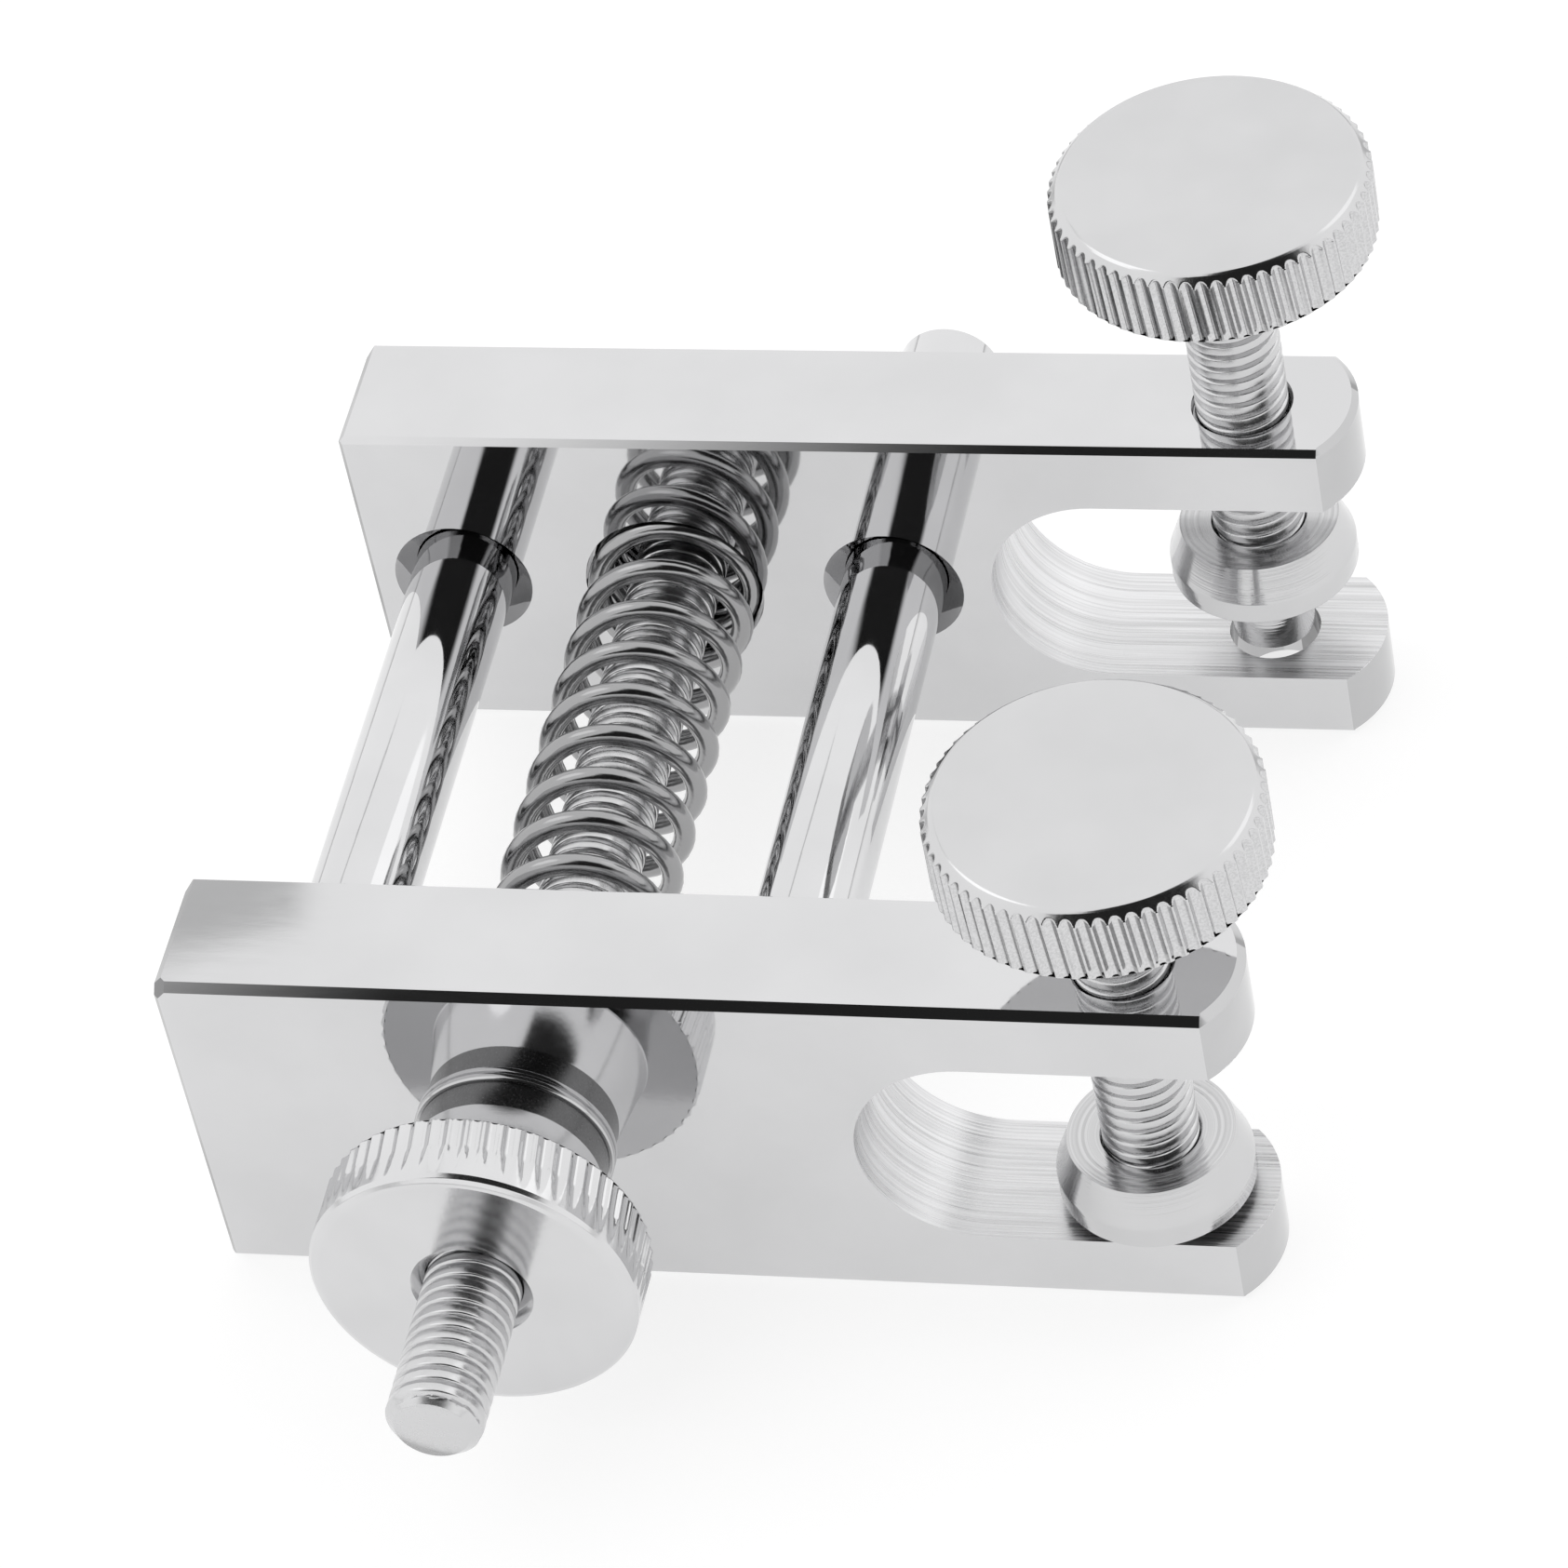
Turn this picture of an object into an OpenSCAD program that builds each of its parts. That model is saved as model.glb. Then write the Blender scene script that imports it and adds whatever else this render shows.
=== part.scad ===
// Watch case press: two slotted jaws on guide rods, drawn together by a
// knurled nut on a fixed screw, pushed apart by a coil spring. Each jaw carries
// a thumbscrew whose swivelling foot works inside the slot.
// Frame: X along the jaws (slots open to +X), Y from the front jaw to the rear
// jaw, Z up. The origin is at the middle of the footprint, on the surface the
// jaws stand on.

/* [Jaws] */
// Length of a jaw, left end to the crown of the prongs
jaw_l = 65.7; // [55:0.1:80]
// Thickness of a jaw along Y
jaw_t = 9.5; // [8:0.1:14]
// Height of a jaw
jaw_h = 24.5; // [20:0.1:32]
// Front face of the front jaw to front face of the rear jaw
jaw_pitch = 48.4; // [30:0.1:52]
// Height of the U-slot between the prongs
slot_h = 14.6; // [12:0.1:16]
// Left end of the jaw to the inner end of the slot
slot_x = 41.5; // [39:0.1:44]
// How far the prong ends are crowned
crown = 2.0; // [1:0.1:3]
// Bevel along the edges of the front jaw
bevel = 0.5; // [0.2:0.1:1]
// Bevel along the edges of the rear jaw
rear_bevel = 0.4; // [0.2:0.1:1]
// Bevel at the front vertical edge of the left ends
end_bevel = 0.3; // [0.1:0.1:0.8]
// Cut at the rear vertical edge of the left ends, along Y
heel_cut = 1.1; // [0.5:0.1:2]
// Size of the facet on the upper left corner of the front jaw
corner = 1.3; // [0.8:0.1:2]

/* [Guide rods] */
// Diameter of the guide rods
rod_d = 6.7; // [5:0.1:8]
// Left end of the jaws to the middle between the two rods
rods_x = 20.6; // [19:0.1:24]
// Distance from that middle to each rod
rod_offset = 14.4; // [13:0.1:16]
// Depth of the blind rod holes in the front jaw
rod_seat = 7; // [5:0.5:8]
// Length of the left rod behind the rear jaw
left_out = 8.5; // [6:0.1:12]
// Length of the right rod behind the rear jaw
right_out = 12.3; // [8:0.1:16]
// Diameter of the countersinks around the rods in the rear jaw
rod_csk_d = 9.2; // [8:0.1:10.5]

/* [Draw screw and nut] */
// Major diameter of every thread
thread_d = 5.9; // [5:0.1:6]
// Left end of the jaws to the axis of the draw screw
screw_x = 20.4; // [19:0.1:24]
// Underside of the jaws to the axis of the draw screw
screw_z = 11.9; // [11:0.1:13.5]
// How far the screw tip stands out in front of the front jaw
screw_out = 22.7; // [18:0.1:28]
// Outer diameter of the knurled disc of the nut
nut_d = 20; // [16:0.5:24]
// Front face of the nut to the face of the front jaw
nut_reach = 12.0; // [11:0.1:15]
// Length of the knurled disc, with its front bevel
nut_disc = 4.9; // [3.5:0.1:6]
// Diameter of the hub
hub_d = 11.8; // [10:0.1:13]
// Length of the tapered neck between the disc and the hub
neck_l = 4.75; // [3:0.05:6]
// Diameter of the neck where it leaves the disc
neck_d = 13.2; // [12:0.1:19]
// Thickness of the thrust washer
washer_t = 0.5; // [0.4:0.1:1.5]
// Diameter of the thrust washer
washer_d = 12.4; // [12:0.1:13]

/* [Spring] */
// Outer diameter of the spring
spring_d = 11.3; // [10:0.1:11.6]
// Wire diameter
wire_d = 1.4; // [0.8:0.1:1.4]
// Open coils between the two closed end coils
open_coils = 10.3; // [8:0.1:14]
// Diameter of the seats bored in the jaws
seat_d = 11.8; // [11:0.1:13]
// Depth of the seat in the front jaw
front_seat = 2.0; // [1:0.5:3]
// Depth of the seat in the rear jaw
rear_seat = 2.5; // [1:0.5:3]

/* [Thumbscrews] */
// Left end of the jaws to the axis of the thumbscrews
thumb_x = 58.4; // [56:0.1:60]
// Outer diameter of the knurled knobs
knob_d = 20; // [16:0.5:20]
// Height of the knobs
knob_h = 5.1; // [4:0.1:7]
// Depth of the smooth bevel around the top of the knobs
knob_bevel = 0.8; // [0.4:0.1:1.2]
// Top of the front knob above the base
front_top = 38.3; // [37.9:0.1:47]
// Top of the rear knob above the base
rear_top = 43.3; // [37.9:0.1:47]
// Top of a knob to the top of its foot
stud_reach = 28.5; // [26:0.1:30]
// Depth of the stud's seat in the knob
stud_seat = 4; // [3:0.1:4.5]
// Diameter of the threaded hole's countersink
thumb_csk_d = 6.5; // [6.3:0.1:8]

/* [Feet] */
// Diameter of the flat top of a foot
foot_top_d = 10.2; // [9:0.1:11]
// Greatest diameter of a foot
foot_d = 12; // [11:0.1:13]
// Height of the cone of a foot
foot_cone = 2.3; // [1.5:0.1:2.5]
// Height of the cylindrical band of a foot
foot_band = 1.7; // [1.2:0.1:2.5]
// Diameter of the plain nib under a foot
nib_d = 5.3; // [4:0.1:5.6]
// Length of the nib
nib_l = 5.6; // [4:0.1:5.7]
// Diameter of the nib's hole in the lower prong
nib_hole_d = 5.9; // [5.7:0.1:6.5]

/* [Hidden] */
$fn = 96;

// running clearance on the radius, and overshoot that keeps cuts clean
run = 0.05;
eps = 0.01;
over = 1;

// bounding box middle, so that the origin is under the middle of the tool
mid_x = (thumb_x + knob_d / 2) / 2;
mid_y = (jaw_pitch + jaw_t + right_out - screw_out) / 2;
mid_z = jaw_h / 2;

thread_r = thread_d / 2;
rod_r = rod_d / 2;
slot_r = slot_h / 2;
slot_cx = slot_x + slot_r;
prong_t = (jaw_h - slot_h) / 2;
flat_l = jaw_l - crown;
crown_r = (jaw_t * jaw_t / 4 + crown * crown) / (2 * crown);
rod_left_x = rods_x - rod_offset;
rod_right_x = rods_x + rod_offset;
rod_front = jaw_t - rod_seat;
rod_bevel = 0.5;

// draw screw: it stops just inside the back of the rear jaw
screw_inset = 0.5;
screw_end = jaw_pitch + jaw_t - screw_inset;
tip_bevel = 0.5;
screw_hole_r = thread_r + 0.3;
nut_bevel = 0.65;
disc_back_bevel = 0.2;
nut_csk = 0.65;
washer_hole_r = thread_r + 0.25;
pin_r = 1.25;
pin_bottom = 0.6;
pin_top = screw_z + 1.5;

// thumbscrew: the nib's neck goes up through the foot into the stud
foot_h = foot_cone + foot_band;
foot_edge = 0.25;
socket_depth = 1.6;
neck_r = 1.7;
neck_up = 4;
axial_gap = 0.05;
thumb_csk = (thumb_csk_d - thread_d) / 2 - run;
stud_top_gap = 0.2;
knob_foot_bevel = 0.3;
nib_bevel = 0.3;

// spring path: one closed coil at each end, open coils between
spring_r = (spring_d - wire_d) / 2;
spring_y0 = jaw_t - front_seat + wire_d / 2;
spring_y1 = jaw_pitch + rear_seat - wire_d / 2;
closed_pitch = 1.1 * wire_d;
turns = open_coils + 2;
ring_n = 18;
wire_n = 8;
steps = round(turns * ring_n);
open_pitch = (spring_y1 - spring_y0 - 2 * closed_pitch) / open_coils;
spring_phase = 206;

// distance along the spring after t turns
function rise(t) = t < 1 ? closed_pitch * t
    : t < turns - 1 ? closed_pitch + (t - 1) * open_pitch
    : spring_y1 - spring_y0 - (turns - t) * closed_pitch;
// one point on the wire's skin, step i along the coil and k around the wire
function wire_point(i, k) =
    let (t = i * turns / steps, a = spring_phase - 360 * t, w = 360 * k / wire_n)
    let (r = spring_r + wire_d / 2 * cos(w))
    [r * cos(a), spring_y0 + rise(t) + wire_d / 2 * sin(w), r * sin(a)];

// round bar along Y from y0 to y1 about the axis (x, z)
module bar_y(x, z, r, y0, y1, r_end = -1) {
    translate([x, y0, z])
        rotate([-90, 0, 0])
            cylinder(h = y1 - y0, r1 = r, r2 = r_end < 0 ? r : r_end);
}

// round bar along Z from z0 to z1 about the axis (x, y)
module bar_z(x, y, r, z0, z1, r_end = -1) {
    translate([x, y, z0])
        cylinder(h = z1 - z0, r1 = r, r2 = r_end < 0 ? r : r_end);
}

// moves tool coordinates (left end, front face, base) to the part's origin
module place() {
    translate([-mid_x, -mid_y, 0])
        children();
}

// crowned prong end with bevelled top and bottom edges
module crown_end(b) {
    crown_x = jaw_l - crown_r;
    intersection() {
        union() {
            bar_z(crown_x, jaw_t / 2, crown_r, b, jaw_h - b);
            bar_z(crown_x, jaw_t / 2, crown_r - b, 0, b, crown_r);
            bar_z(crown_x, jaw_t / 2, crown_r, jaw_h - b, jaw_h, crown_r - b);
        }
        translate([crown_x, 0, 0])
            cube([crown_r, jaw_t, jaw_h]);
    }
}

// solid block with bevelled long edges and left end
module jaw_blank(b) {
    intersection() {
        union() {
            cube([flat_l, jaw_t, jaw_h]);
            crown_end(b);
        }
        rotate([90, 0, 90])
            linear_extrude(jaw_l + over)
                polygon([[b, 0], [jaw_t - b, 0], [jaw_t, b], [jaw_t, jaw_h - b],
                    [jaw_t - b, jaw_h], [b, jaw_h], [0, jaw_h - b], [0, b]]);
        translate([0, 0, -over])
            linear_extrude(jaw_h + 2 * over)
                polygon([[end_bevel, 0], [jaw_l + over, 0], [jaw_l + over, jaw_t],
                    [heel_cut * 0.6, jaw_t], [0, jaw_t - heel_cut], [0, end_bevel]]);
        translate([0, jaw_t + over, 0])
            rotate([90, 0, 0])
                linear_extrude(jaw_t + 2 * over)
                    polygon([[b, 0], [jaw_l + over, 0], [jaw_l + over, jaw_h],
                        [b, jaw_h], [0, jaw_h - b], [0, b]]);
    }
}

// U-slot, open at the right end
module slot_cut() {
    bar_y(slot_cx, mid_z, slot_r, -over, jaw_t + over);
    translate([slot_cx, -over, mid_z - slot_r])
        cube([jaw_l, jaw_t + 2 * over, slot_h]);
}

// threaded hole in the upper prong and nib hole in the lower prong
module thumb_cuts() {
    bar_z(thumb_x, jaw_t / 2, thread_r + run, mid_z, jaw_h + over);
    bar_z(thumb_x, jaw_t / 2, thread_r + run, jaw_h - thumb_csk, jaw_h + eps, thumb_csk_d / 2);
    bar_z(thumb_x, jaw_t / 2, nib_hole_d / 2, -over, mid_z);
}

// facet ground on the front upper left corner, equal along the three edges
module corner_cut() {
    side = 6 * corner;
    translate([0, 0, jaw_h])
        rotate([0, acos(1 / sqrt(3)), 225])
            translate([-side / 2, -side / 2, -corner / sqrt(3)])
                cube(side);
}

module front_jaw() {
    color("gainsboro")
        place()
            difference() {
                jaw_blank(bevel);
                corner_cut();
                slot_cut();
                thumb_cuts();
                bar_y(screw_x, screw_z, screw_hole_r, -over, jaw_t + over);
                bar_y(screw_x, screw_z, seat_d / 2, jaw_t - front_seat, jaw_t + over);
                bar_y(rod_left_x, mid_z, rod_r, rod_front, jaw_t + over);
                bar_y(rod_right_x, mid_z, rod_r, rod_front, jaw_t + over);
            }
}

// running hole for a guide rod, countersunk at the front
module rod_hole(x) {
    sink = rod_csk_d / 2 - rod_r - run;
    bar_y(x, mid_z, rod_r + run, -over, jaw_t + over);
    bar_y(x, mid_z, rod_csk_d / 2, -eps, sink, rod_r + run);
}

module rear_jaw() {
    color("gainsboro")
        place()
            translate([0, jaw_pitch, 0])
                difference() {
                    jaw_blank(rear_bevel);
                    slot_cut();
                    thumb_cuts();
                    rod_hole(rod_left_x);
                    rod_hole(rod_right_x);
                    bar_y(screw_x, screw_z, thread_r, -over, jaw_t + over);
                    bar_y(screw_x, screw_z, seat_d / 2, -over, rear_seat);
                    bar_z(screw_x, jaw_t / 2, pin_r, -over, pin_top);
                }
}

// guide rod with a bevelled free end
module guide_rod(x, out) {
    y_end = jaw_pitch + jaw_t + out;
    bar_y(x, mid_z, rod_r, rod_front, y_end - rod_bevel);
    bar_y(x, mid_z, rod_r, y_end - rod_bevel, y_end, rod_r - rod_bevel);
}

module guide_rod_left() {
    color("silver")
        place()
            guide_rod(rod_left_x, left_out);
}

module guide_rod_right() {
    color("silver")
        place()
            guide_rod(rod_right_x, right_out);
}

module draw_screw() {
    color("silver")
        place()
            difference() {
                union() {
                    bar_y(screw_x, screw_z, thread_r - tip_bevel, -screw_out,
                        -screw_out + tip_bevel, thread_r);
                    bar_y(screw_x, screw_z, thread_r, -screw_out + tip_bevel, screw_end);
                }
                bar_z(screw_x, jaw_pitch + jaw_t / 2, pin_r, 0, pin_top);
            }
}

module draw_screw_pin() {
    color("dimgray")
        place()
            bar_z(screw_x, jaw_pitch + jaw_t / 2, pin_r, pin_bottom, pin_top);
}

module draw_nut() {
    disc_back = -nut_reach + nut_disc;
    neck_back = disc_back + neck_l;
    color("gainsboro")
        place()
            difference() {
                union() {
                    bar_y(screw_x, screw_z, nut_d / 2 - nut_bevel, -nut_reach,
                        -nut_reach + nut_bevel, nut_d / 2);
                    bar_y(screw_x, screw_z, nut_d / 2, -nut_reach + nut_bevel,
                        disc_back - disc_back_bevel);
                    bar_y(screw_x, screw_z, nut_d / 2, disc_back - disc_back_bevel,
                        disc_back, nut_d / 2 - disc_back_bevel);
                    bar_y(screw_x, screw_z, neck_d / 2, disc_back, neck_back, hub_d / 2);
                    bar_y(screw_x, screw_z, hub_d / 2, neck_back, -washer_t);
                }
                bar_y(screw_x, screw_z, thread_r + run, -nut_reach - over, over);
                bar_y(screw_x, screw_z, thread_r + run + nut_csk, -nut_reach - eps,
                    -nut_reach + nut_csk, thread_r + run);
            }
}

module thrust_washer() {
    color("silver")
        place()
            difference() {
                bar_y(screw_x, screw_z, washer_d / 2, -washer_t, 0);
                bar_y(screw_x, screw_z, washer_hole_r, -washer_t - over, over);
            }
}

module return_spring() {
    color("gray")
        place()
            translate([screw_x, 0, screw_z])
                polyhedron(
                    points = [for (i = [0:steps], k = [0:wire_n - 1]) wire_point(i, k)],
                    faces = concat(
                        [[for (k = [wire_n - 1:-1:0]) k]],
                        [for (i = [0:steps - 1], k = [0:wire_n - 1])
                            [i * wire_n + k, i * wire_n + (k + 1) % wire_n,
                                (i + 1) * wire_n + (k + 1) % wire_n,
                                (i + 1) * wire_n + k]],
                        [[for (k = [0:wire_n - 1]) steps * wire_n + k]]));
}

// knurled knob, seated on its stud; y is the jaw's middle, top the knob's top
module knob(y, top) {
    seat_top = top - knob_h + stud_seat;
    color("gainsboro")
        place()
            difference() {
                union() {
                    bar_z(thumb_x, y, knob_d / 2, top - knob_bevel, top,
                        knob_d / 2 - knob_bevel);
                    bar_z(thumb_x, y, knob_d / 2, top - knob_h + knob_foot_bevel,
                        top - knob_bevel);
                    bar_z(thumb_x, y, knob_d / 2 - knob_foot_bevel, top - knob_h,
                        top - knob_h + knob_foot_bevel, knob_d / 2);
                }
                bar_z(thumb_x, y, thread_r, top - knob_h - over, seat_top);
            }
}

// threaded stud from the knob down into the foot's socket
module stud(y, top) {
    foot_top = top - stud_reach;
    end_z = foot_top - socket_depth + axial_gap;
    color("silver")
        place()
            difference() {
                bar_z(thumb_x, y, thread_r, end_z, top - knob_h + stud_seat - stud_top_gap);
                bar_z(thumb_x, y, neck_r, end_z - over, end_z + neck_up);
            }
}

// swivelling foot: flat top, cone, band, with a socket for the stud
module foot(y, top) {
    z1 = top - stud_reach;
    z0 = z1 - foot_h;
    color("gainsboro")
        place()
            difference() {
                union() {
                    bar_z(thumb_x, y, foot_d / 2, z1 - foot_cone, z1, foot_top_d / 2);
                    bar_z(thumb_x, y, foot_d / 2, z0 + foot_edge, z1 - foot_cone);
                    bar_z(thumb_x, y, foot_d / 2 - foot_edge, z0, z0 + foot_edge, foot_d / 2);
                }
                bar_z(thumb_x, y, thread_r + run, z1 - socket_depth, z1 + over);
                bar_z(thumb_x, y, neck_r + run, z0 - over, z1);
            }
}

// pin that holds the foot on the stud; its nib stands out below the foot
module foot_pin(y, top) {
    z1 = top - stud_reach;
    z0 = z1 - foot_h;
    neck_top = z1 - socket_depth + axial_gap + neck_up;
    color("silver")
        place() {
            bar_z(thumb_x, y, nib_d / 2 - nib_bevel, z0 - nib_l, z0 - nib_l + nib_bevel,
                nib_d / 2);
            bar_z(thumb_x, y, nib_d / 2, z0 - nib_l + nib_bevel, z0 - axial_gap);
            bar_z(thumb_x, y, neck_r, z0 - axial_gap - eps, neck_top);
        }
}

module front_knob() {
    knob(jaw_t / 2, front_top);
}

module front_stud() {
    stud(jaw_t / 2, front_top);
}

module front_foot() {
    foot(jaw_t / 2, front_top);
}

module front_foot_pin() {
    foot_pin(jaw_t / 2, front_top);
}

module rear_knob() {
    knob(jaw_pitch + jaw_t / 2, rear_top);
}

module rear_stud() {
    stud(jaw_pitch + jaw_t / 2, rear_top);
}

module rear_foot() {
    foot(jaw_pitch + jaw_t / 2, rear_top);
}

module rear_foot_pin() {
    foot_pin(jaw_pitch + jaw_t / 2, rear_top);
}

front_jaw();
rear_jaw();
guide_rod_left();
guide_rod_right();
draw_screw();
draw_screw_pin();
draw_nut();
thrust_washer();
return_spring();
front_knob();
front_stud();
front_foot();
front_foot_pin();
rear_knob();
rear_stud();
rear_foot();
rear_foot_pin();
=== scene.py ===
import math

import bmesh
import bpy
import numpy as np
from mathutils import Matrix, Vector


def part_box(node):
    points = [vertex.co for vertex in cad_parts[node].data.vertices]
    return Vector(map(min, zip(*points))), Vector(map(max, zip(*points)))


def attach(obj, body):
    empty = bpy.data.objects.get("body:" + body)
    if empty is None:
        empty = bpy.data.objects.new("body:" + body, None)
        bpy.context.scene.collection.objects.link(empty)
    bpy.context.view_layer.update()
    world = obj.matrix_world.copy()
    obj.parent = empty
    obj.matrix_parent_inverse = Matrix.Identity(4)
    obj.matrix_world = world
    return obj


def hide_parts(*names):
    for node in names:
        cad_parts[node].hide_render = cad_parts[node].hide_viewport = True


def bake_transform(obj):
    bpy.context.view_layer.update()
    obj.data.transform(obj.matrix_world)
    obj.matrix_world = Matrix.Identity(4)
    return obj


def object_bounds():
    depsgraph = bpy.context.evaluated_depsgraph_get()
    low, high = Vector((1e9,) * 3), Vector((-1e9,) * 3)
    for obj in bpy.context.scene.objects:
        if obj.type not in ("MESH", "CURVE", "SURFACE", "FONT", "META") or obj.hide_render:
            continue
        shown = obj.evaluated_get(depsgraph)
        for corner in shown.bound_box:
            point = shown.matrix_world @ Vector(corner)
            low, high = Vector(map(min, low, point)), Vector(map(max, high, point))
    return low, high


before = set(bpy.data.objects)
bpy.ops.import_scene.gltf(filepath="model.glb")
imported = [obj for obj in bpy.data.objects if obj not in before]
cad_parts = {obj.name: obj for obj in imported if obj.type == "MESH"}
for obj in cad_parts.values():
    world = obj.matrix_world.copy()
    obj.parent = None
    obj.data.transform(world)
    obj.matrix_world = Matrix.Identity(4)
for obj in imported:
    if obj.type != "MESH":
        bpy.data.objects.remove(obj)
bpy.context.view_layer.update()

MM = 0.001
PITCH = 1.0 * MM  # M6 thread


def smooth(x):
    """Smooth step from 0 to 1."""
    x = min(1.0, max(0.0, x))
    return x * x * (3 - 2 * x)


def middle(node):
    """Centre of a CAD node's box."""
    lo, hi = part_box(node)
    return (Vector(lo) + Vector(hi)) / 2


def spaced(a, b, step):
    """Even places from a to b, about step apart."""
    n = max(1, round((b - a) / step))
    return [a + (b - a) * i / n for i in range(n + 1)]


# ---------------------------------------------------------------- mesh tools
LATHE_SIDES = 128
CRISP = 35  # degrees of bend above which an edge of a turned piece stays crisp


def mesh_object(name, verts, faces, location=(0, 0, 0), sharp=CRISP):
    """Object from points and faces; edges bent by more than sharp degrees stay crisp."""
    mesh = bpy.data.meshes.new(name)
    mesh.from_pydata([tuple(v) for v in verts], [], faces)
    mesh.update()
    bm = bmesh.new()
    bm.from_mesh(mesh)
    bmesh.ops.recalc_face_normals(bm, faces=bm.faces)
    limit = math.radians(sharp)
    for e in bm.edges:
        e.smooth = not (len(e.link_faces) == 2 and e.calc_face_angle(0) > limit)
    for f in bm.faces:
        f.smooth = True
    bm.to_mesh(mesh)
    bm.free()
    obj = bpy.data.objects.new(name, mesh)
    obj.location = location
    bpy.context.collection.objects.link(obj)
    return obj


def turn_vector(axis, r, a, t):
    """Point at radius r and angle a about the axis, t along it."""
    if axis == "Y":
        return (r * math.sin(a), t, r * math.cos(a))
    return (r * math.cos(a), r * math.sin(a), t)


def even_angles(count):
    """Angles that split a full turn into count parts."""
    return [2 * math.pi * k / count for k in range(count)]


def skin(name, rings, location, sharp, tips=None):
    """Solid over rings of points. Its ends are closed to the two tips; without
    tips the last ring joins the first, as in a piece with a bore."""
    count = len(rings[0])
    verts = [p for ring in rings for p in ring]
    pairs = [(i, i + 1) for i in range(len(rings) - 1)]
    if tips is None:
        pairs.append((len(rings) - 1, 0))
    faces = []
    for p, q in pairs:
        for k in range(count):
            n = (k + 1) % count
            faces.append((p * count + k, q * count + k, q * count + n, p * count + n))
    if tips is not None:
        for ring, tip in ((0, tips[0]), (len(rings) - 1, tips[1])):
            verts.append(tip)
            for k in range(count):
                faces.append((ring * count + k, ring * count + (k + 1) % count, len(verts) - 1))
    return mesh_object(name, verts, faces, location, sharp)


def rounded(outline, by):
    """The outline of (t, r) points with its inner corners eased by three points."""
    pts = [outline[0]]
    for before, here, after in zip(outline, outline[1:], outline[2:]):
        here = Vector(here)
        ends = []
        for other in (before, after):
            d = Vector(other) - here
            ends.append(here + d.normalized() * min(by, d.length * 0.45))
        pts += [tuple(ends[0]), tuple((ends[0] + ends[1]) / 4 + here / 2), tuple(ends[1])]
    return pts + [outline[-1]]


def lathe(name, axis, outline, location, bore=(), ease=0.06 * MM):
    """Turned solid from an outline of (t, r) points, with an optional bore outline."""
    angles = even_angles(LATHE_SIDES)
    profile = rounded(outline, ease) + list(reversed(bore))
    rings = [[turn_vector(axis, r, a, t) for a in angles] for t, r in profile]
    tips = None
    if not bore:
        tips = [turn_vector(axis, 0, 0, outline[i][0]) for i in (0, -1)]
    return skin(name, rings, location, CRISP, tips)


# ---------------------------------------------------------------- materials
BLUER = 1.01  # blue share of every grey, against its red and green
FACING_UP = 0.9  # Z of the normal above which a turned face counts as flat
NUT_DISC, NUT_NECK = 4.9 * MM, 4.75 * MM  # lengths of the nut's disc and of its conical neck
SLOT_START = 41.4 * MM  # from a jaw's left end to where its slot begins
PRONG_SHARE = 0.202  # a prong's height as a share of the jaw's
SLOT_SLACK = 0.06 * MM
SINK_MARGIN = 3 * MM  # the countersinks lie at least this far from a jaw's top and bottom


def new_material(name):
    """A new material with its nodes, its links and its shader."""
    m = bpy.data.materials.new(name)
    m.use_nodes = True
    return m, m.node_tree.nodes, m.node_tree.links, m.node_tree.nodes["Principled BSDF"]


def add(nodes, kind, **values):
    """A new node with some of its properties set."""
    n = nodes.new(kind)
    for k, v in values.items():
        setattr(n, k, v)
    return n


def math_node(nodes, links, op, a, b=None):
    """Result of a maths node on node values or plain numbers."""
    n = add(nodes, "ShaderNodeMath", operation=op)
    for i, v in enumerate((a, b)):
        if v is None:
            continue
        if isinstance(v, (int, float)):
            n.inputs[i].default_value = v
        else:
            links.new(v, n.inputs[i])
    return n.outputs[0]


def blend(nodes, links, share, a, b):
    """share * a + (1 - share) * b for two node values, share a plain number."""
    return math_node(nodes, links, "ADD", math_node(nodes, links, "MULTIPLY", a, share),
                     math_node(nodes, links, "MULTIPLY", b, 1 - share))


def noise(nodes, links, vector, scale, detail, stretch=(1, 1, 1)):
    """Noise over a vector, finer along an axis where stretch is larger."""
    mapping = add(nodes, "ShaderNodeMapping")
    mapping.inputs["Scale"].default_value = stretch
    links.new(vector, mapping.inputs["Vector"])
    n = add(nodes, "ShaderNodeTexNoise")
    n.inputs["Scale"].default_value = scale
    n.inputs["Detail"].default_value = detail
    links.new(mapping.outputs[0], n.inputs["Vector"])
    return n.outputs["Fac"]


def remap(nodes, links, value, a, b, lo, hi, kind="LINEAR"):
    """A value between a and b brought to the range from lo to hi."""
    n = add(nodes, "ShaderNodeMapRange", interpolation_type=kind)
    n.inputs["From Min"].default_value = a
    n.inputs["From Max"].default_value = b
    n.inputs["To Min"].default_value = lo
    n.inputs["To Max"].default_value = hi
    links.new(value, n.inputs["Value"])
    return n.outputs[0]


def tint(nodes, links, value, dark, light, a=0.35, b=0.65):
    """Cool grey, from dark where the value is a to light where it is b."""
    ramp = add(nodes, "ShaderNodeValToRGB")
    for element, place, shade in zip(ramp.color_ramp.elements, (a, b), (dark, light)):
        element.position = place
        element.color = (shade, shade, shade * BLUER, 1)
    links.new(value, ramp.inputs[0])
    return ramp.outputs[0]


def choose(nodes, links, kind, mask, a, b):
    """a where the mask is 0 and b where it is 1, for a FLOAT or an RGBA value."""
    mix = add(nodes, "ShaderNodeMix", data_type=kind)
    first, out = (2, 0) if kind == "FLOAT" else (6, 2)
    for socket, value in ((0, mask), (first, a), (first + 1, b)):
        links.new(value, mix.inputs[socket])
    return mix.outputs[out]


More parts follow.
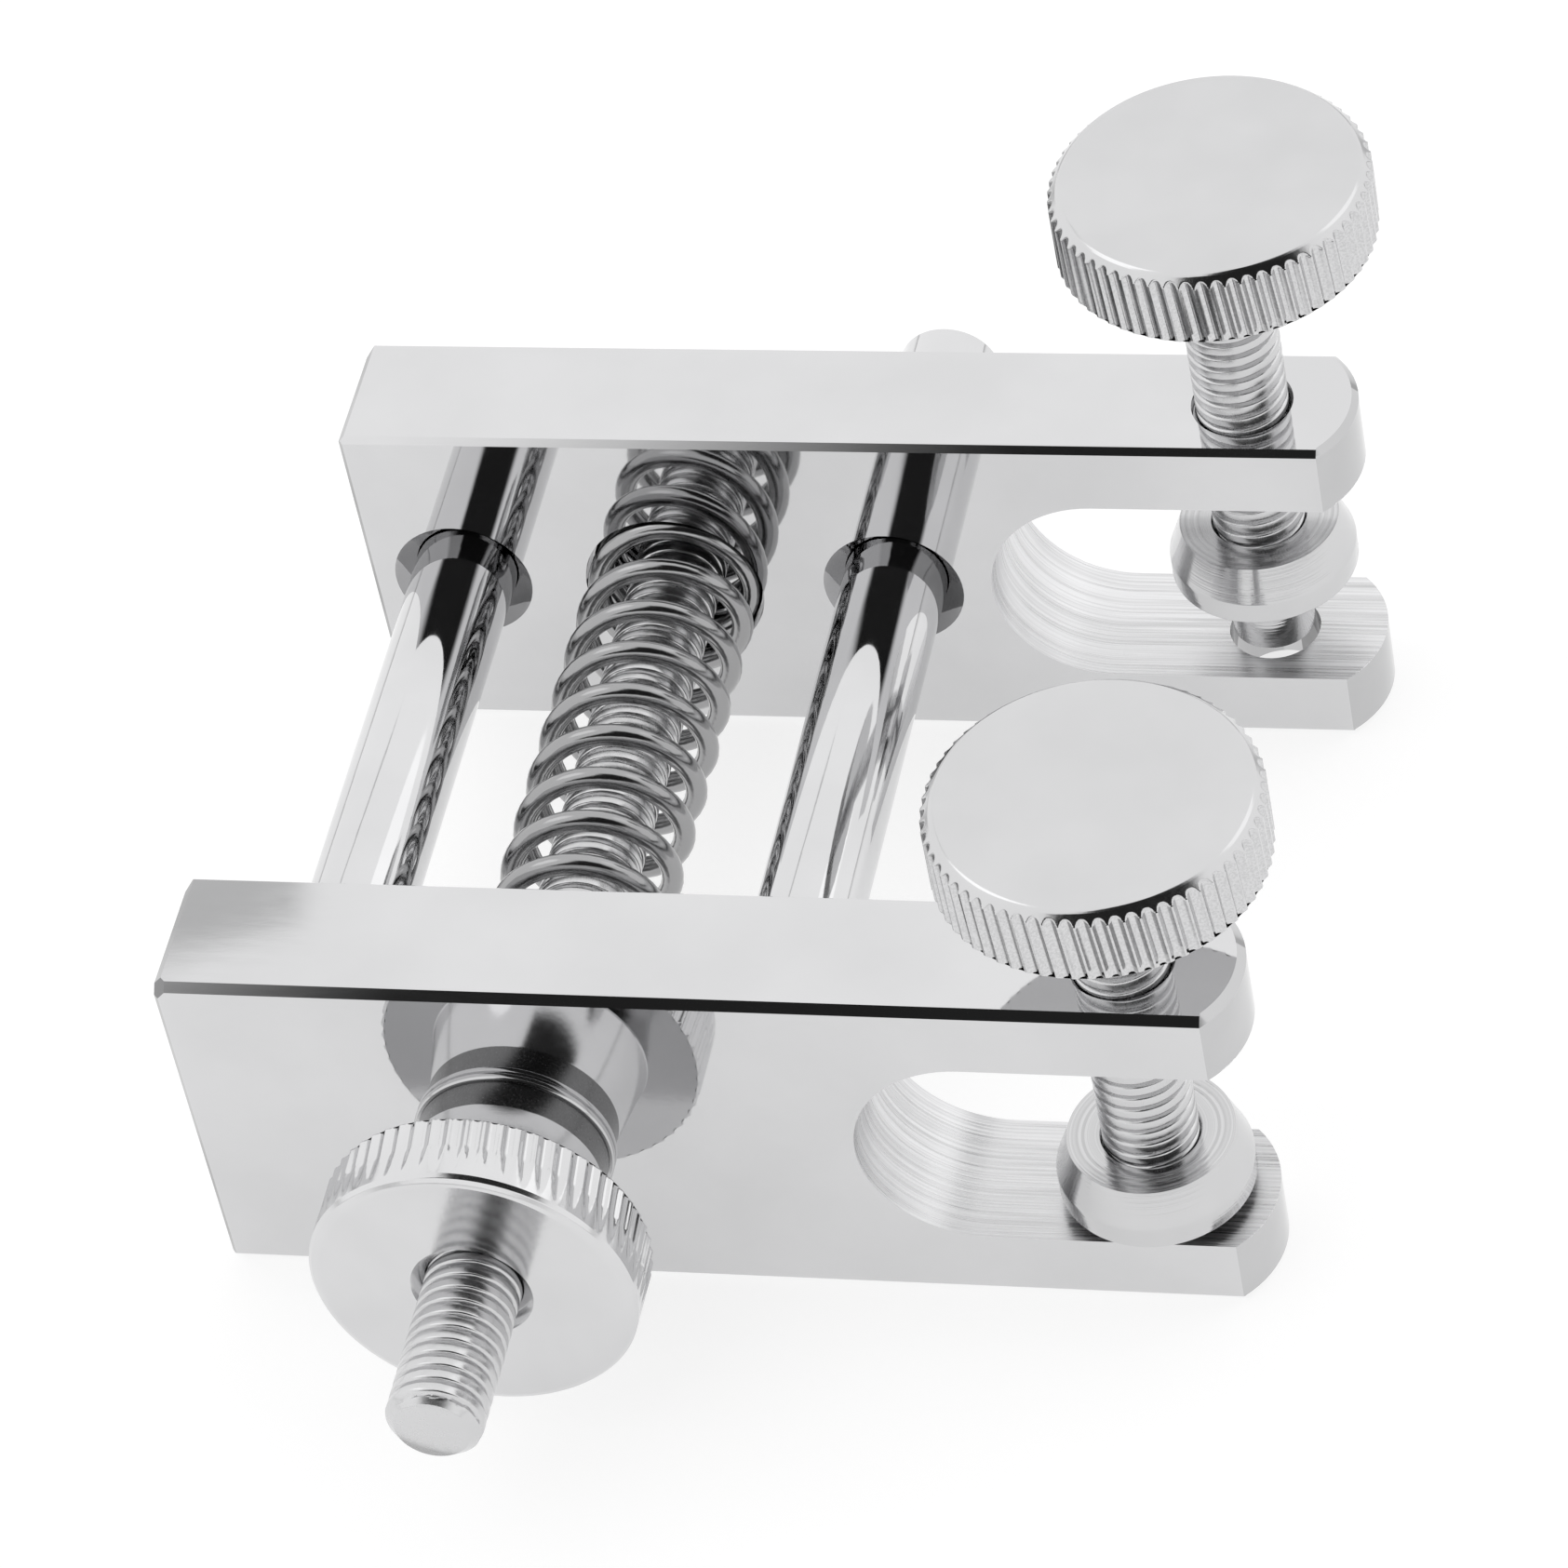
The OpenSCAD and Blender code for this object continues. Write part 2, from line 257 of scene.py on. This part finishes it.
def bump(nodes, links, shader, height, distance):
    """Surface relief as high as distance."""
    b = add(nodes, "ShaderNodeBump")
    b.inputs["Strength"].default_value = 1.0
    b.inputs["Distance"].default_value = distance
    links.new(height, b.inputs["Height"])
    links.new(b.outputs[0], shader.inputs["Normal"])


def polished(name, shade, rough, spread=0.04, grain=(1, 1, 1), relief=0.003, rings=0.0, zone=None):
    """Bright steel: clouded roughness, faint polishing marks and, if asked for,
    turned rings about the piece's own Z axis. A zone of (kind, limit, shade,
    roughness) is speckled and has a shade of its own: the part "past" a place
    along Y, or the "side" of the piece, where it faces away from Z. On the nut's
    hub the zone's dark is painted shade for the recess between the disc and the
    jaw; in a side zone the walls facing -X get painted shade as well."""
    m, nodes, links, shader = new_material(name)
    tex = add(nodes, "ShaderNodeTexCoord")
    coords = tex.outputs["Object"]
    cloud = noise(nodes, links, coords, 140, 4)
    fine = noise(nodes, links, coords, 2600, 3, grain)
    colour = tint(nodes, links, cloud, shade * 0.97, shade * 1.02)
    mixed = blend(nodes, links, 0.6, cloud, fine)
    dull = remap(nodes, links, mixed, 0.3, 0.7, max(0.02, rough - spread), rough + spread)
    height = fine
    if rings:
        xyz = add(nodes, "ShaderNodeSeparateXYZ")
        links.new(coords, xyz.inputs[0])
        x2, y2 = (math_node(nodes, links, "MULTIPLY", xyz.outputs[i], xyz.outputs[i]) for i in (0, 1))
        off_axis = math_node(nodes, links, "SQRT", math_node(nodes, links, "ADD", x2, y2))
        combine = add(nodes, "ShaderNodeCombineXYZ")
        links.new(off_axis, combine.inputs[0])
        links.new(xyz.outputs[2], combine.inputs[1])
        turned = noise(nodes, links, combine.outputs[0], 5000, 2)
        height = blend(nodes, links, rings, turned, fine)
        upward = add(nodes, "ShaderNodeSeparateXYZ")
        links.new(tex.outputs["Normal"], upward.inputs[0])
        flat = math_node(nodes, links, "GREATER_THAN", upward.outputs[2], FACING_UP)
        colour = choose(nodes, links, "RGBA", flat, colour,
                        tint(nodes, links, turned, shade * 0.82, shade * 1.03, 0.42, 0.58))
    if zone:
        kind, limit, zone_shade, zone_rough = zone
        source = coords if kind == "past" else tex.outputs["Normal"]
        parts = add(nodes, "ShaderNodeSeparateXYZ")
        links.new(source, parts.inputs[0])
        if kind == "past":
            mask = math_node(nodes, links, "GREATER_THAN", parts.outputs[1], limit)
        else:
            upright = math_node(nodes, links, "ABSOLUTE", parts.outputs[2])
            mask = math_node(nodes, links, "LESS_THAN", upright, limit)
        speck = noise(nodes, links, coords, 7000, 2)
        grey = tint(nodes, links, speck, zone_shade * 0.92, zone_shade * 1.06, 0.38, 0.6)
        if kind == "side":
            # painted shade: the walls of the flutes that face the dull side of the room (-X) are darkened,
            # standing in for its reflection
            painted_shade_walls = remap(nodes, links, parts.outputs[0], -0.05, -0.50, 0.0, 1.0, "SMOOTHSTEP")
            grey = choose(nodes, links, "RGBA", painted_shade_walls, grey,
                          tint(nodes, links, speck, zone_shade * 0.42, zone_shade * 0.6))
        colour = choose(nodes, links, "RGBA", mask, colour, grey)
        dull = choose(nodes, links, "FLOAT", mask, dull,
                      remap(nodes, links, speck, 0.3, 0.7, zone_rough * 0.85, zone_rough * 1.15))
    links.new(colour, shader.inputs["Base Color"])
    links.new(dull, shader.inputs["Roughness"])
    bump(nodes, links, shader, height, relief * MM)
    shader.inputs["Metallic"].default_value = 1.0
    return m


def jaw_material(name, jaw):
    """Mirror polish outside, milled streaks along the inside of the slot, painted shade on the chamfers,
    the countersinks and the crowned ends.
    """
    lo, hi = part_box(jaw)
    prong = (hi[2] - lo[2]) * PRONG_SHARE
    slot_left = lo[0] + SLOT_START
    m, nodes, links, shader = new_material(name)
    tex = add(nodes, "ShaderNodeTexCoord")
    coords, normal = tex.outputs["Object"], tex.outputs["Normal"]
    xyz = add(nodes, "ShaderNodeSeparateXYZ")
    links.new(coords, xyz.inputs[0])
    facing = add(nodes, "ShaderNodeSeparateXYZ")
    links.new(normal, facing.inputs[0])
    across = math_node(nodes, links, "ABSOLUTE", facing.outputs[1])

    def within(mask, *bounds):
        """The mask where each (operation, value, limit) holds as well."""
        for op, value, limit in bounds:
            mask = math_node(nodes, links, "MULTIPLY", mask, math_node(nodes, links, op, value, limit))
        return mask

    inside = within(math_node(nodes, links, "GREATER_THAN", xyz.outputs[2], lo[2] + prong - SLOT_SLACK),
                    ("LESS_THAN", xyz.outputs[2], hi[2] - prong + SLOT_SLACK),
                    ("GREATER_THAN", xyz.outputs[0], slot_left), ("LESS_THAN", across, 0.6))
    cloud = noise(nodes, links, coords, 90, 4)
    fine = noise(nodes, links, coords, 1500, 3, (0.25, 1, 1))
    streak = noise(nodes, links, coords, 900, 4, (0.05, 1.6, 0.05))
    hair = noise(nodes, links, coords, 6000, 2, (0.012, 1, 0.012))
    milling = blend(nodes, links, 0.45, streak, hair)
    plain = remap(nodes, links, blend(nodes, links, 0.7, cloud, fine), 0.3, 0.7, 0.015, 0.055)
    milled = remap(nodes, links, milling, 0.35, 0.65, 0.20, 0.42)
    links.new(choose(nodes, links, "FLOAT", inside, plain, milled), shader.inputs["Roughness"])
    # painted shade: the chamfers of the left end and the countersinks are greyer than the faces, standing
    # in for dark reflections
    chamfer = within(math_node(nodes, links, "LESS_THAN", facing.outputs[0], -0.3),
                     ("GREATER_THAN", facing.outputs[0], -0.93))
    sunk = within(math_node(nodes, links, "LESS_THAN", xyz.outputs[0], slot_left),
                  ("LESS_THAN", facing.outputs[1], -0.35), ("GREATER_THAN", facing.outputs[1], -0.93),
                  ("LESS_THAN", xyz.outputs[2], hi[2] - SINK_MARGIN),
                  ("GREATER_THAN", xyz.outputs[2], lo[2] + SINK_MARGIN))
    painted_dark_slopes = math_node(nodes, links, "MAXIMUM", chamfer, sunk)
    faces = choose(nodes, links, "RGBA", painted_dark_slopes, tint(nodes, links, cloud, 0.635, 0.67),
                   tint(nodes, links, cloud, 0.26, 0.44, 0.4, 0.6))
    # painted shade: the crowned ends of the prongs are a little darker, as if turned away from the light
    painted_shade_crown = remap(nodes, links, facing.outputs[0], 0.10, 0.16, 0.0, 1.0)
    faces = choose(nodes, links, "RGBA", painted_shade_crown, faces, tint(nodes, links, cloud, 0.52, 0.57))
    streaked = tint(nodes, links, milling, 0.55, 0.80, 0.38, 0.6)
    links.new(choose(nodes, links, "RGBA", inside, faces, streaked), shader.inputs["Base Color"])
    flat = math_node(nodes, links, "MULTIPLY", fine, 0.008)
    relief = choose(nodes, links, "FLOAT", inside, flat, milling)
    bump(nodes, links, shader, relief, 0.03 * MM)
    shader.inputs["Metallic"].default_value = 1.0
    return m


nut_disc_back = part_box("draw_nut")[0][1] + NUT_DISC
MAT = {
    "rod": polished("rod_polished", 0.66, 0.05, 0.02, (1, 0.15, 1), 0.002),
    "thread": polished("thread_bright", 0.62, 0.24, 0.08),
    # the knobs' side zone paints shade on the flute walls facing -X
    "knob": polished("knob_satin", 0.615, 0.13, zone=("side", 0.4, 0.62, 0.13)),
    # the nut's hub past its neck is painted dark: painted shade for the recess between the disc and the
    # jaw
    "nut": polished("nut_bright", 0.67, 0.14, zone=("past", nut_disc_back + NUT_NECK, 0.19, 0.24)),
    "turned": polished("foot_turned", 0.61, 0.12, relief=0.022, rings=0.9),
    "washer": polished("washer_polished", 0.55, 0.12),
    "spring": polished("spring_wire", 0.36, 0.15),
    "pin": polished("pin_plain", 0.50, 0.25),
}


def finish_piece(obj, material, body, slot, *nodes):
    """Give the piece its material and its body, and hide the CAD parts it replaces. The slot is not used.
    """
    obj.data.materials.clear()
    obj.data.materials.append(MAT[material])
    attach(obj, body)
    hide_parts(*nodes)


# ---------------------------------------------------------------- jaws
EDGE_BREAK = 0.07 * MM
for jaw in ("front_jaw", "rear_jaw"):
    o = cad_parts[jaw]
    polish = jaw_material(jaw + "_polish", jaw)
    if not o.material_slots:
        o.data.materials.append(polish)
    for s in o.material_slots:
        s.material = polish
    merge = o.modifiers.new("merge_flats", "DECIMATE")
    merge.decimate_type = "DISSOLVE"
    merge.angle_limit = math.radians(0.5)
    bevel = o.modifiers.new("edge_break", "BEVEL")
    bevel.limit_method = "ANGLE"
    bevel.angle_limit = math.radians(25)
    bevel.width = EDGE_BREAK
    bevel.segments = 2
    shading = o.modifiers.new("even_shading", "WEIGHTED_NORMAL")
    shading.mode = "FACE_AREA"
    shading.weight = 100

# ---------------------------------------------------------------- guide rods
ROD_BEVELS = (0.2 * MM, 0.5 * MM)  # front end, rear end
for node in ("guide_rod_left", "guide_rod_right"):
    lo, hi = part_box(node)
    c = middle(node)
    r = (hi[0] - lo[0]) / 2
    b0, b1 = ROD_BEVELS
    outline = [(lo[1], r - b0), (lo[1] + b0, r), (hi[1] - b1, r), (hi[1], r - b1)]
    rod = lathe(node + "_bar", "Y", outline, (c[0], 0, c[2]))
    finish_piece(rod, "rod", "front_frame", "rod_steel", node)


# ---------------------------------------------------------------- threads
THREAD_DEPTH = 0.42 * MM
THREAD_SIDES = 72
STEPS_PER_PITCH = 14
SCREW_BEVELS = (0.68 * MM, 0.3 * MM)  # front tip, rear end
STUD_BEVEL = 0.3 * MM


def thread_shape(u):
    """Depth share of the thread at share u of a pitch: wide round crest, V root."""
    u = abs((u % 1.0) - 0.5) * 2
    return 0.10 * u * u + 0.90 * smooth((u - 0.60) / 0.40)


def threaded_bar(name, axis, t0, t1, r, location, bevel0, bevel1=0.0):
    """Right-handed thread between t0 and t1, its ends bevelled at 45 degrees."""
    rings = []
    for t in spaced(t0, t1, PITCH / STEPS_PER_PITCH):
        crest = min(r, r - bevel0 + (t - t0), r - bevel1 + (t1 - t))
        ring = []
        for a in even_angles(THREAD_SIDES):
            root = r - THREAD_DEPTH * thread_shape(t / PITCH - a / (2 * math.pi))
            ring.append(turn_vector(axis, min(crest, root), a, t))
        rings.append(ring)
    return skin(name, rings, location, 60, [turn_vector(axis, 0, 0, t) for t in (t0, t1)])


lo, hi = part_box("draw_screw")
c = middle("draw_screw")
thread_r = (hi[2] - lo[2]) / 2
screw = threaded_bar("draw_screw_thread", "Y", lo[1], hi[1], thread_r, (c[0], 0, c[2]), *SCREW_BEVELS)
finish_piece(screw, "thread", "rear_slider", "thread_steel", "draw_screw")

for side in ("front", "rear"):
    lo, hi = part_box(side + "_stud")
    c = middle(side + "_stud")
    r = (hi[0] - lo[0]) / 2
    stud = threaded_bar(side + "_stud_thread", "Z", lo[2], hi[2], r, (c[0], c[1], 0), STUD_BEVEL)
    finish_piece(stud, "thread", side + "_thumbscrew", "thread_steel", side + "_stud")

# ---------------------------------------------------------------- knurls
# places across one tooth: ridge, its edge, the round flute, the other edge
TOOTH = (0.0, 0.07, 0.14, 0.25, 0.37, 0.5, 0.63, 0.75, 0.86, 0.93)
FLUTE_SHARE = 0.43  # half the width of a flute as a share of the pitch of the teeth
BACK_EDGE = 0.2 * MM  # bevel at the back of a disc
RIM = 0.04 * MM
# rings along a disc: over the bevel, over the flutes, over the back edge
BEVEL_STEP, FLUTE_STEP, EDGE_STEP = 0.05 * MM, 0.14 * MM, 0.06 * MM


def knurled_disc(name, axis, face, back, r, location, teeth, shoulder, groove, slant,
                 tail=(), bore=()):
    """Knurled disc between its face and its back, then a turned tail. The shoulder
    lists (s, r) points of the bevel between face and flutes, s being the distance
    behind the face; groove(s) is the depth of the flutes there, and slant their
    lean in teeth per metre."""
    sign = 1 if back > face else -1
    height = abs(back - face)
    pitch = 2 * math.pi * r / teeth
    fullest = groove(height / 2)
    curve = (FLUTE_SHARE * pitch) ** 2 / (2 * fullest)
    places, widths = zip(*shoulder)
    bevel = places[-1]

    def radius(s, u):
        across = (u - 0.5) * pitch
        flute = max(0, groove(s) - across * across / (2 * curve))
        return min(r - flute, np.interp(s, places, widths), r - BACK_EDGE + (height - s))

    flutes_end = height - BACK_EDGE - fullest
    steps = sorted(set(list(places) + spaced(0, bevel, BEVEL_STEP)))
    steps += spaced(bevel, flutes_end, FLUTE_STEP)[1:]
    steps += spaced(flutes_end, height, EDGE_STEP)[1:]
    columns = [(k + u) * 2 * math.pi / teeth for k in range(teeth) for u in TOOTH]
    shares = TOOTH * teeth
    # a ring just inside the rim keeps the flat face flat under smooth shading
    rings = [[turn_vector(axis, widths[0] - RIM, a, face) for a in columns]]
    for s in steps:
        lean = slant * s * 2 * math.pi / teeth
        rings.append([turn_vector(axis, radius(s, u), a + lean, face + sign * s)
                      for a, u in zip(columns, shares)])
    lean = slant * height * 2 * math.pi / teeth
    if not tail:
        rings.append([turn_vector(axis, r - BACK_EDGE - RIM, a + lean, back) for a in columns])
    for t, rr in list(tail) + list(reversed(bore)):
        rings.append([turn_vector(axis, rr, a + lean, t) for a in columns])
    tips = None if bore else [turn_vector(axis, 0, 0, t) for t in (face, back)]
    return skin(name, rings, location, 40, tips)


KNOB_TEETH, NUT_TEETH = 66, 58
KNOB_GROOVE = 0.33 * MM
LEAN = 0.10 / MM  # teeth per metre
for side in ("front", "rear"):
    lo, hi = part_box(side + "_knob")
    c = middle(side + "_knob")
    r = (hi[0] - lo[0]) / 2
    shoulder = [(0, r - 0.84 * MM), (0.06 * MM, r - 0.70 * MM), (0.16 * MM, r - 0.56 * MM), (0.72 * MM, r)]
    knob = knurled_disc(side + "_knob_knurled", "Z", hi[2], lo[2], r, (c[0], c[1], 0), KNOB_TEETH,
                        shoulder, lambda s: KNOB_GROOVE, LEAN)
    finish_piece(knob, "knob", side + "_thumbscrew", "knurled_steel", side + "_knob")


# ---------------------------------------------------------------- draw nut
NUT_GROOVE = 0.30 * MM
FLUTE_START, FLUTE_RUN = 0.50 * MM, 2.2 * MM
NECK_R, HUB_R = 6.6 * MM, 5.9 * MM
COUNTERSINK = 0.7 * MM
RUN = 0.05 * MM  # play between the thread and its bore


def nut_groove(s):
    """The nut's flutes run out to a point before they reach its face."""
    return NUT_GROOVE * min(1.0, max(0.0, (s - FLUTE_START) / FLUTE_RUN)) ** 1.1


lo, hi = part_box("draw_nut")
c = middle("draw_nut")
r = (hi[0] - lo[0]) / 2
neck_back = nut_disc_back + NUT_NECK
bore_r = thread_r + RUN
mouth_r = bore_r + COUNTERSINK
tail = [(nut_disc_back, r - BACK_EDGE - RIM), (nut_disc_back, NECK_R + 0.1 * MM),
        (nut_disc_back + 0.1 * MM, NECK_R), (neck_back - 0.1 * MM, HUB_R + 0.02 * MM),
        (neck_back, HUB_R), (hi[1] - 0.1 * MM, HUB_R), (hi[1], HUB_R - 0.1 * MM)]
bore = [(lo[1], mouth_r + 2 * RIM), (lo[1], mouth_r + RIM), (lo[1] + RIM, mouth_r),
        (lo[1] + COUNTERSINK, bore_r), (hi[1], bore_r)]
shoulder = [(0, r - 0.72 * MM), (0.08 * MM, r - 0.50 * MM), (0.22 * MM, r - 0.22 * MM), (0.46 * MM, r)]
nut = knurled_disc("draw_nut_knurled", "Y", lo[1], nut_disc_back, r, (c[0], 0, c[2]), NUT_TEETH,
                   shoulder, nut_groove, -LEAN, tail, bore)
finish_piece(nut, "nut", "draw_nut_body", "knurled_steel", "draw_nut")

# ---------------------------------------------------------------- thrust washer
WASHER_PLAY, WASHER_BEVEL = 0.25 * MM, 0.1 * MM
lo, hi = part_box("thrust_washer")
c = middle("thrust_washer")
r = (hi[0] - lo[0]) / 2
hole = thread_r + WASHER_PLAY
b = WASHER_BEVEL
outline = [(lo[1], r - b), (lo[1] + b, r), (hi[1] - b, r), (hi[1], r - b)]
washer = lathe("thrust_washer_ring", "Y", outline, (c[0], 0, c[2]),
               bore=[(lo[1], hole), (hi[1], hole)], ease=0.03 * MM)
finish_piece(washer, "washer", "front_frame", "washer_steel", "thrust_washer")

# ---------------------------------------------------------------- feet
FOOT_EDGE, FOOT_WALL, FOOT_CONE = 0.25 * MM, 1.7 * MM, 0.9 * MM
SOCKET_DEPTH = 1.6 * MM  # the stud's socket in the top of a foot
NECK_HOLE, NIB_NECK = 1.75 * MM, 1.7 * MM
for side in ("front", "rear"):
    lo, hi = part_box(side + "_foot")
    c = middle(side + "_foot")
    r = (hi[0] - lo[0]) / 2
    socket = hi[2] - SOCKET_DEPTH
    outline = [(lo[2], r - FOOT_EDGE), (lo[2] + FOOT_EDGE, r), (lo[2] + FOOT_WALL, r),
               (hi[2], r - FOOT_CONE)]
    foot = lathe(side + "_foot_turned", "Z", outline, (c[0], c[1], 0),
                 bore=[(lo[2], NECK_HOLE), (socket, NECK_HOLE), (socket, bore_r),
                       (hi[2] - 0.1 * MM, bore_r), (hi[2], thread_r + 0.15 * MM)])
    finish_piece(foot, "turned", side + "_foot_body", "foot_steel", side + "_foot")
    under = lo[2] - 0.05 * MM
    lo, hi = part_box(side + "_foot_pin")
    r = (hi[0] - lo[0]) / 2
    outline = [(lo[2], r - 0.45 * MM), (lo[2] + 0.35 * MM, r), (under, r), (under, NIB_NECK),
               (hi[2], NIB_NECK)]
    nib = lathe(side + "_foot_nib", "Z", outline, (c[0], c[1], 0))
    finish_piece(nib, "turned", side + "_thumbscrew", "foot_steel", side + "_foot_pin")

# ---------------------------------------------------------------- lock pin
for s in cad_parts["draw_screw_pin"].material_slots:
    s.material = MAT["pin"]

# ---------------------------------------------------------------- spring
WIRE_R = 0.7 * MM
OPEN_COILS, CLOSED_PITCH = 10.3, 1.54 * MM  # between one closed coil at each end
TURNS = OPEN_COILS + 2
START_ANGLE = 206  # degrees
PER_TURN, AROUND = 44, 16  # rings along one turn, points round the wire
lo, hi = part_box("return_spring")
c = middle("return_spring")
coil_r = (hi[0] - lo[0]) / 2 - WIRE_R
y0, y1 = lo[1] + WIRE_R, hi[1] - WIRE_R
open_pitch = (y1 - y0 - 2 * CLOSED_PITCH) / OPEN_COILS


def rise(t):
    """Height of the wire after t turns: one closed coil at each end."""
    if t < 1:
        return CLOSED_PITCH * t
    if t < TURNS - 1:
        return CLOSED_PITCH + (t - 1) * open_pitch
    return y1 - y0 - (TURNS - t) * CLOSED_PITCH


steps = round(TURNS * PER_TURN)
verts, faces, share = [], [], []
for i in range(steps + 1):
    t = TURNS * i / steps
    a = math.radians(START_ANGLE - 360 * t)
    h = rise(t)
    wire = WIRE_R * (0.35 if i in (0, steps) else 1.0)  # the wire's ends are tapered
    for w in even_angles(AROUND):
        out = coil_r + wire * math.cos(w)
        along = y0 + h + wire * math.sin(w)
        verts.append((c[0] + out * math.cos(a), along, c[2] + out * math.sin(a)))
        share.append(h / (y1 - y0))
for i in range(steps):
    for k in range(AROUND):
        n = (k + 1) % AROUND
        here, ahead = i * AROUND, (i + 1) * AROUND
        faces.append((here + k, ahead + k, ahead + n, here + n))
faces.append(tuple(range(AROUND)))
faces.append(tuple(steps * AROUND + k for k in reversed(range(AROUND))))
spring = mesh_object("return_spring_coil", verts, faces, sharp=60)
spring.data.materials.append(MAT["spring"])
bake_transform(spring)
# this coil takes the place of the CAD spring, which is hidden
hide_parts("return_spring")

# ---------------------------------------------------------------- stage
FLOOR_NEAR, FLOOR_FAR = 0.12, 0.50  # metres from the middle of the floor
GLOW_NEAR, GLOW_FAR = 0.78, 0.34
low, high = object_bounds()
bpy.ops.mesh.primitive_plane_add(size=60 * (high - low).length, location=(0, 0, -0.02 * MM))
floor = bpy.context.object
floor.name = "floor"
m, nodes, links, shader = new_material("floor_pale")
shader.inputs["Base Color"].default_value = (0.28, 0.28, 0.28, 1)
shader.inputs["Roughness"].default_value = 0.9
shader.inputs["Emission Color"].default_value = (1, 1, 1, 1)
# it glows evenly under the object and less and less further out
coords = nodes.new("ShaderNodeTexCoord").outputs["Object"]
away = add(nodes, "ShaderNodeVectorMath", operation="LENGTH")
links.new(coords, away.inputs[0])
glow = remap(nodes, links, away.outputs["Value"], FLOOR_NEAR, FLOOR_FAR, GLOW_NEAR, GLOW_FAR, "SMOOTHSTEP")
links.new(glow, shader.inputs["Emission Strength"])
floor.data.materials.append(m)

# ---------------------------------------------------------------- light
# the camera's azimuth, elevation and roll
AZ, EL, ROLL = math.radians(19.59), math.radians(43.69), math.radians(-12.31)
towards_camera = Vector((math.sin(AZ) * math.cos(EL), -math.cos(AZ) * math.cos(EL), math.sin(EL)))

ROOM_LIT, ROOM_DARK = 1.12, 0.02  # light from the room and from its dark part
SCREEN_SHARE = 0.6
world = bpy.data.worlds.new("studio")
bpy.context.scene.world = world
world.use_nodes = True
nodes, links = world.node_tree.nodes, world.node_tree.links
direction = nodes.new("ShaderNodeTexCoord").outputs["Generated"]
xyz = nodes.new("ShaderNodeSeparateXYZ")
links.new(direction, xyz.inputs[0])
# the dark room round the camera, above the light table
dot = add(nodes, "ShaderNodeVectorMath", operation="DOT_PRODUCT")
links.new(direction, dot.inputs[0])
dot.inputs[1].default_value = towards_camera
lobe = remap(nodes, links, dot.outputs["Value"], 0.68, 0.80, 0.0, 1.0, "SMOOTHSTEP")
above = remap(nodes, links, xyz.outputs[2], 0.41, 0.52, 0.0, 1.0, "SMOOTHSTEP")
slope = math_node(nodes, links, "MULTIPLY", xyz.outputs[0], 0.9)
tilted = math_node(nodes, links, "SUBTRACT", xyz.outputs[2], slope)
below = remap(nodes, links, tilted, 0.972, 0.910, 0.0, 1.0, "SMOOTHSTEP")
dark = math_node(nodes, links, "MULTIPLY", lobe, above)
dark = math_node(nodes, links, "MULTIPLY", dark, below)
# a small grey screen at the rear left
screen = remap(nodes, links, xyz.outputs[0], -0.3035, -0.3075, 0.0, 1.0, "SMOOTHSTEP")
for edges in ((0.672, 0.677), (0.694, 0.690)):
    side = remap(nodes, links, xyz.outputs[2], edges[0], edges[1], 0.0, 1.0, "SMOOTHSTEP")
    screen = math_node(nodes, links, "MULTIPLY", screen, side)
behind = math_node(nodes, links, "GREATER_THAN", xyz.outputs[1], 0)
screen = math_node(nodes, links, "MULTIPLY", screen, behind)
lit = math_node(nodes, links, "MULTIPLY", remap(nodes, links, dark, 0, 1, ROOM_LIT, ROOM_DARK),
                remap(nodes, links, screen, 0, 1, 1.0, SCREEN_SHARE))
links.new(lit, nodes["Background"].inputs["Strength"])
nodes["Background"].inputs["Color"].default_value = (1, 1, 1, 1)

for name, place, size, power in (("key_soft", (-0.35, 0.05, 0.55), 0.35, 0.15),
                                 ("fill_soft", (0.45, 0.35, 0.50), 0.40, 0.10)):
    light = bpy.data.lights.new(name, "AREA")
    light.shape = "DISK"
    light.size = size
    light.energy = power
    o = bpy.data.objects.new(name, light)
    o.location = place
    o.rotation_euler = (Vector((0, 0, 0.01)) - Vector(place)).to_track_quat("-Z", "Y").to_euler()
    bpy.context.collection.objects.link(o)

# ---------------------------------------------------------------- camera
DISTANCE = 0.4567
AIM = Vector((31.14, 30.85, 12.2)) * MM  # from the front jaw's low corner
AIM_DROP = 0.22 * MM
right = Vector((math.cos(AZ), math.sin(AZ), 0))
up = towards_camera.cross(right)
cam_x = right * math.cos(ROLL) + up * math.sin(ROLL)
cam_y = towards_camera.cross(cam_x)
target = Vector(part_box("front_jaw")[0]) + AIM - cam_y * AIM_DROP
camera = bpy.data.objects.new("camera", bpy.data.cameras.new("camera"))
bpy.context.collection.objects.link(camera)
camera.matrix_world = Matrix((cam_x, cam_y, towards_camera)).transposed().to_4x4()
camera.location = target + towards_camera * DISTANCE
camera.data.sensor_width = 36
camera.data.lens = 167.1
camera.data.clip_start = 0.01
camera.data.clip_end = 20
bpy.context.scene.camera = camera
bpy.context.scene.view_settings.view_transform = "Standard"
